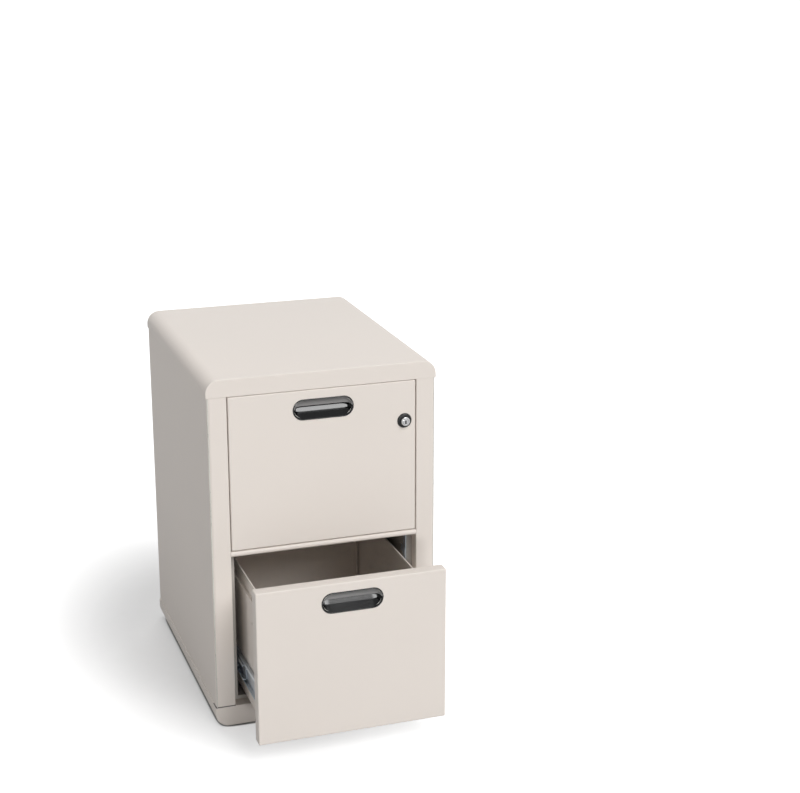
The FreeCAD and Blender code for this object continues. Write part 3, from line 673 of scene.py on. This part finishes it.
def lock():
    """Bezel, pushed barrel with its tail, and key plug, the round ones turned about the lock's axis."""
    bezel_low, bezel_high = box("lock_bezel")
    centre = (bezel_low + bezel_high)[[X, Z]] / 2
    outer = (bezel_high - bezel_low)[X] / 2
    front, face = bezel_low[Y], box("upper_head_shell")[0][Y]
    bore = BARREL + 0.3 * MM
    corners = [(bore, face), (bore, front), (outer - BEZEL_BEVEL, front), (outer, face), (bore, face)]
    ring = rounded(corners, [0.7 * MM, 1.5 * MM, 0.1 * MM], closed=False)
    add("lock_bezel_skin", [turned(ring, centre)], "upper_drawer", "lock_black", "lock_bezel", crease=40)
    lock_plunger(centre)
    key_plug(centre)


def lock_plunger(centre):
    """Chromed barrel with the cranked tail behind it, whose sloped end lifts the lock bar."""
    low, high = box("lock_plunger")
    hole = PLUG + 0.1 * MM
    tip, rear = low[Y], box("upper_head_cover")[0][Y] - CRANK_BEHIND
    corners = [(hole, rear), (hole, tip), (BARREL, tip), (BARREL, rear), (hole, rear)]
    barrel = turned(rounded(corners, [0.35 * MM, 0.9 * MM, 0.1 * MM], closed=False), centre)
    half = (high - low)[Z] / 2 * CRANK_SHARE
    crank = rectangle(centre - half, (high[X], centre[1] + half))
    crank = extruded(crank, Y, (rear, rear + CRANK_THICK), 0.3 * MM)
    end = high[Y]
    blade = [(rear, -half), (end, -half), (end, -BLADE_TIP), (end - BLADE_SLOPE, half), (rear, half)]
    blade = [(y, centre[1] + up) for y, up in blade]
    blade = extruded(blade, X, (high[X] - BLADE_WIDE, high[X]), 0.3 * MM)
    grids = [barrel, crank, blade]
    add("lock_plunger_skin", grids, "lock_plunger", "lock_chrome", "lock_plunger", crease=40)


def key_plug(centre):
    """Plug with a face of rays from the key slot's outline to the round edge, and a black block on the
    slot's
    floor: painted shade that makes the shallow slot read as a deep key way.

    The slot's outline is a circle held inside the slot's rectangle.
    """
    low, high = box("key_plug")
    angle = np.linspace(0, 2 * np.pi, 97)
    circle = np.stack([np.cos(angle), np.sin(angle)], axis=1)
    slot_low, slot_high = np.transpose(KEY_SLOT)
    slot = np.clip(circle * PLUG * 2, slot_low, slot_high)
    tip, length = low[Y], (high - low)[Y]
    arris, bevel = 0.15 * MM, 0.6 * MM
    rings = [
        (slot * 0, KEY_SLOT_DEPTH), (slot, KEY_SLOT_DEPTH), (slot, arris), (slot * 1.1, 0),
        (circle * (PLUG - bevel), 0), (circle * (PLUG - arris), arris), (circle * PLUG, bevel),
        (circle * PLUG, length), (circle * 0, length),
    ]
    face = np.stack([lifted(centre + line, Y, tip + depth) for line, depth in rings])
    add("key_plug_skin", [face], "key_plug", "lock_chrome", "key_plug", crease=40)
    # Painted shade: a black block on the floor of the shallow slot, for the shadow down a deep key way.
    shaded_way = rectangle(centre + slot_low, centre + slot_high, 0.3 * MM)
    shaded_way = extruded(shaded_way, Y, (tip + 0.5 * MM, tip + KEY_SLOT_DEPTH + 0.2 * MM), 0.05 * MM)
    add("key_way_shade", [shaded_way], "key_plug", "lock_black")


# Slides

SLIDE_SHEET = 1.2 * MM
SLIDE_BEND = 3.2 * MM


def channel(near, far, half, hook):
    """Corners of a channel in (distance from the drawer side, height), given in millimetres.

    Its web is at near, and its flanges reach to far and end in hooks, if any.
    """
    top = [(far, half - hook), (far, half)] if hook else [(far, half)]
    points = top + [(near, half)]
    return np.array(points + [(w, -v) for w, v in reversed(points)]) * MM


# Each member's channel, the body that it rides on, and the side of the line on which its sheet lies.
MEMBERS = {
    "drawer_slide": (channel(0.0, 7.8, 22.5, 4.3), "drawer", 1),
    "middle_slide": (channel(1.9, 10.5, 16.1, 4.1), "middle_slides", 1),
    "cabinet_slide": (channel(12.7, 4.2, 9.7, 0), None, -1),
}


def slide_members(name):
    """The three rolled channels of the slides on both sides of a drawer."""
    side_x = abs(box(f"{name}_side_left")[0][X])
    for member, (corners, body, turn) in MEMBERS.items():
        for side, out in zip(SIDES, (-1, 1)):
            node = f"{name}_{member}_{side}"
            low, high = box(node)
            middle = (low[Z] + high[Z]) / 2
            section = np.stack([out * (side_x + corners[:, 0]), middle + corners[:, 1]], axis=1)
            grids = folded_sheet(section, SLIDE_BEND, out * turn * SLIDE_SHEET, Y, (low[Y], high[Y]))
            owner = f"{name}_{body}" if body else "cabinet"
            add(f"{node}_skin", grids, owner, "zinc_steel", node)


BALL = 2.3 * MM
BALLS_IN_ROW = 9
CAGE_HALF_SHEET = 0.3 * MM
CAGE_HALF_WIDTH = {"outer": 2.2 * MM, "inner": 2.6 * MM}


def ball(centre, steps=6):
    """A slide ball: x = r cos a cos b, y = r cos a sin b, z = r sin a."""
    rise = np.linspace(-QUARTER, QUARTER, steps + 1)[:, None]
    turn = np.linspace(0, 2 * np.pi, 2 * steps + 1)
    flat = np.cos(rise)
    ways = np.stack([flat * np.cos(turn), flat * np.sin(turn), np.sin(rise) + 0 * turn], axis=-1)
    return np.asarray(centre) + BALL * ways


def ribbon(x, z, half, front, back):
    """Punched strip of a ball cage, wide at each of its n balls and narrow between two.

    Its half width is half (0.82 - 0.18 cos(2 pi n s)), where s runs from 0 to 1 along it.
    """
    s = np.linspace(0, 1, 8 * BALLS_IN_ROW + 1)
    reach = half * (0.82 - 0.18 * np.cos(2 * np.pi * BALLS_IN_ROW * s))
    y = front + (back - front) * s
    section = [(-1, -1), (1, -1), (1, 1), (-1, 1), (-1, -1)]
    level = z + 0 * s
    lines = [np.stack([x + side * reach, y, level + up * CAGE_HALF_SHEET], axis=-1) for side, up in section]
    grid = np.stack(lines)
    caps = [np.stack([grid[:2, i], grid[3:1:-1, i]]) for i in (0, -1)]
    return [grid] + caps


def cages(name, row):
    """Ball cages of one row: on each side a strip above and one below, with their balls."""
    node = f"{name}_{row}_cages"
    low, high = box(node)
    half = CAGE_HALF_WIDTH[row]
    pitch = (high[Y] - low[Y]) / BALLS_IN_ROW
    grids = []
    for x in (low[X] + half, high[X] - half):
        for z in (low[Z] + BALL, high[Z] - BALL):
            grids += ribbon(x, z, half, low[Y], high[Y])
            grids += [ball((x, low[Y] + pitch * (i + 0.5), z)) for i in range(BALLS_IN_ROW)]
    add(f"{node}_skin", grids, node, "zinc_steel", node, finish=FINISHES["ball_steel"])


# Fasteners

RIVET_BORE = 1.1 * MM
SLIDE_SCREW = 3.8 * MM
SLIDE_SCREW_RISE = 1.7 * MM
SLIDE_SCREW_SOCKET = 1.5 * MM
SLIDE_SCREW_INSET = 4 * MM
BACK_SCREW = 3.9 * MM
BACK_SCREW_RISE = 0.7 * MM
BACK_SCREW_SOCKET = 1.4 * MM
BACK_SCREW_INSET = (9 * MM, 22 * MM)
BACK_SCREWS = 5


def rivets(name):
    """Tubular rivets that hold the legs of the folder rails to the drawer sides."""
    node = f"{name}_rivets"
    low, high = box(node)
    radius = (high[Z] - low[Z]) / 2
    face = box(f"{name}_side_left")[0][X]
    grids = []
    for side in (-1, 1):
        places = [(side * abs(face), y, low[Z] + radius) for y in (low[Y] + radius, high[Y] - radius)]
        grids += domes(places, radius, high[X] - abs(face), (side, 0, 0), RIVET_BORE)
    add(f"{node}_skin", grids, f"{name}_drawer", "drawer_steel", node, crease=50)


def slide_screws():
    """Socket screws that hold the cabinet members to the walls of the cavities."""
    low, high = box("slide_screws")
    ends = (low[Y] + SLIDE_SCREW_INSET, high[Y] - SLIDE_SCREW_INSET)
    face = box("upper_cabinet_slide_right")[1][X] - SLIDE_SHEET
    grids = []
    for drawer in DRAWERS:
        member_low, member_high = box(f"{drawer}_cabinet_slide_right")
        z = (member_low[Z] + member_high[Z]) / 2
        for side in (-1, 1):
            places = [(side * face, y, z) for y in ends]
            grids += domes(places, SLIDE_SCREW, SLIDE_SCREW_RISE, (-side, 0, 0), SLIDE_SCREW_SOCKET)
    add("slide_screws_skin", grids, "cabinet", "zinc_steel", "slide_screws", crease=50)


def back_panel():
    """Back sheet with eased edges, and screws along both sides that stay inside the cabinet's depth."""
    low, high = box("back_panel")
    face = high[Y] - BACK_SCREW_RISE
    sheet = rectangle(low[[X, Z]], high[[X, Z]], 2 * MM)
    sheet = extruded(sheet, Y, (low[Y], face), 0.4 * MM)
    add("back_panel_skin", [sheet], "cabinet", "body_paint", "back_panel")
    side_inset, end_inset = BACK_SCREW_INSET
    heights = np.linspace(low[Z] + end_inset, high[Z] - end_inset, BACK_SCREWS)
    places = [(x, face, z) for x in (low[X] + side_inset, high[X] - side_inset) for z in heights]
    heads = domes(places, BACK_SCREW, BACK_SCREW_RISE, (0, 1, 0), BACK_SCREW_SOCKET)
    add("back_screws", heads, "cabinet", "body_paint", crease=50)


# Stage

FLOOR_REACH = 60
PAPER = ((0.49, 0.49, 0.49), (0.51, 0.51, 0.51))
# The ellipse of painted shadow on the floor, and the floor's glow inside it and outside it.
SHADOW_CENTRE = (-0.10, 0.15, 0)
SHADOW_RADII = (0.24, 0.36, 1.0)
SHADOW_EDGE, SHADOW_BLUR = 1.45, 0.65
SHADOW_GLOW, OPEN_GLOW = 0.36, 0.83
MIRRORED_GLOW = 0.25

# What the painted contact shadow adds to the half width and half depth of the base: inside that outline the
# floor gets no glow and shows darker.
CONTACT_SHADOW_MARGIN = (-6 * MM, 3 * MM, 0)
CONTACT_SHADOW_BLUR = 0.15
CORNER_POWER = 20.0
FAR = 2.0


def footprint(paper):
    """(|x| / a) ^ 20 + (|y| / b) ^ 20, which is 1 on the outline of the painted contact shadow round the
    base.

    A share above 2 counts as 2, so that the powers stay small.
    """
    half = box("base_casing")[1] + CONTACT_SHADOW_MARGIN
    share = paper.vector("DIVIDE", paper.vector("ABSOLUTE", paper.place), (half[0], half[1], 1.0))
    across, along = (paper.node("ShaderNodeSeparateXYZ", {}, {0: share}, axis) for axis in "XY")
    across, along = across.math("MINIMUM", across, FAR), along.math("MINIMUM", along, FAR)
    return across ** CORNER_POWER + along ** CORNER_POWER


def floor():
    """A wide grey floor that turns white for the camera and for mirrors, and keeps the object's shadow.

    Its glow is weaker in an ellipse behind and to the left of the cabinet, where the key lamp's real shadow
    falls: a painted shadow that deepens it. There is none under the cabinet and in a thin band round its
    base, a painted contact shadow.
    """
    far = FLOOR_REACH
    corners = [[(-far, -far, 0), (far, -far, 0)], [(-far, far, 0), (far, far, 0)]]
    stage_floor = mesh_object("studio_floor", [np.array(corners, float)])
    paper = Finish(bpy.data.materials.new("studio_paper"))
    tone = paper.blend(paper.noise(30.0, 3.0), *PAPER)
    diffuse = paper.node("ShaderNodeBsdfDiffuse", {}, {"Color": tone})
    # Painted shadow: the glow is lower inside the ellipse, which deepens the key lamp's real shadow there.
    place = paper.vector("DIVIDE", paper.vector("SUBTRACT", paper.place, SHADOW_CENTRE), SHADOW_RADII)
    outside = paper.vector("LENGTH", place, output="Value").above(SHADOW_EDGE, SHADOW_BLUR)
    glow = outside * (OPEN_GLOW - SHADOW_GLOW) + SHADOW_GLOW
    # Painted contact shadow: no glow under the cabinet and in a thin band round its base.
    glow = glow * footprint(paper).above(1.0, CONTACT_SHADOW_BLUR)
    camera_ray, glossy_ray, transmission_ray = paper.rays()
    seen = camera_ray + glossy_ray * MIRRORED_GLOW + transmission_ray
    light = paper.node("ShaderNodeEmission", {}, {"Strength": seen * glow})
    both = paper.node("ShaderNodeAddShader", {}, {0: diffuse, 1: light})
    paper.node("ShaderNodeOutputMaterial", {}, {"Surface": both})
    stage_floor.data.materials.append(paper.owner)


ROOM_FILL = 0.18
CEILING = {"From Min": 0.72, "From Max": 0.86, "To Min": 1.0, "To Max": 0.12}


def world():
    """Even studio fill: a dim room for the light and a white one for the eye.

    Mirrors see a white room too, but its ceiling darkens where the sine of a ray's elevation passes from
    0.72 to 0.86.
    """
    room = Finish(bpy.data.worlds.new("studio"), "Generated")
    height = room.node("ShaderNodeSeparateXYZ", {}, {0: room.place}, "Z")
    ceiling = room.node("ShaderNodeMapRange", {}, {"Value": height, **CEILING})
    camera_ray, glossy_ray, transmission_ray = room.rays()
    white = glossy_ray * ceiling + (camera_ray + transmission_ray)
    fill = white * (1.0 - ROOM_FILL) + ROOM_FILL
    background = room.node("ShaderNodeBackground", {}, {"Color": (1, 1, 1, 1), "Strength": fill})
    room.node("ShaderNodeOutputWorld", {}, {"Surface": background})
    bpy.context.scene.world = room.owner


LAMP_DISTANCE = 3.4
LIT_POINT = Vector((0, -0.3, 0.45))


def sun(name, azimuth, elevation, strength, spread):
    """A sun lamp that faces the cabinet: its angles are in degrees, azimuth from the front to the right.

    Its direction is (sin a cos e, -cos a cos e, sin e), and a strength of 1 lights a facing white to 1.
    """
    light = bpy.data.lights.new(name, "SUN")
    light.energy = strength * np.pi
    light.angle = np.radians(spread)
    turn, lift = np.radians((azimuth, elevation))
    towards = Vector((np.sin(turn) * np.cos(lift), -np.cos(turn) * np.cos(lift), np.sin(lift)))
    holder = bpy.data.objects.new(name, light)
    holder.location = LIT_POINT + towards * LAMP_DISTANCE
    holder.rotation_euler = towards.to_track_quat("Z", "Y").to_euler()
    bpy.context.scene.collection.objects.link(holder)


def lamps():
    """A wide key from the right that the pulls mirror, and a wide one from above and behind.

    A narrow one comes from the left side and a low one from the front.
    """
    sun("key", 21.5, 41, 0.62, 36)
    sun("top", 172, 62, 0.32, 30)
    sun("left_side", -107, 12, 0.12, 6)
    sun("front_fill", -6, 2, 0.23, 8)


FILM_WIDTH = 36.0
PHOTO_WIDTH = 800
FOCAL_LENGTH_IN_PIXELS = 1683.15
CAMERA_PLACE = (-0.84715, -3.19231, 1.56590)
CAMERA_DOWN, CAMERA_TURN = 16.76, -18.95


def camera():
    """The photograph's viewing angle, from the place that it was taken from."""
    lens = bpy.data.cameras.new("photograph")
    lens.sensor_width = FILM_WIDTH
    lens.lens = FOCAL_LENGTH_IN_PIXELS / PHOTO_WIDTH * FILM_WIDTH
    holder = bpy.data.objects.new("photograph", lens)
    holder.location = CAMERA_PLACE
    holder.rotation_euler = np.radians((90 - CAMERA_DOWN, 0.0, CAMERA_TURN))
    bpy.context.scene.collection.objects.link(holder)
    bpy.context.scene.camera = holder


def main():
    """Dresses the CAD nodes, adds the finished pieces, and sets the stage."""
    bpy.context.scene.view_settings.view_transform = "Standard"
    dress_nodes()
    casing("cap_casing", True)
    casing("base_casing", False)
    for side in SIDES:
        side_panel(side)
    cross_rail()
    for name in DRAWERS:
        head_shell(name)
        pull(name)
        slide_members(name)
        rivets(name)
        for row in CAGE_HALF_WIDTH:
            cages(name, row)
    slide_screws()
    back_panel()
    lock()
    floor()
    world()
    lamps()
    camera()


main()
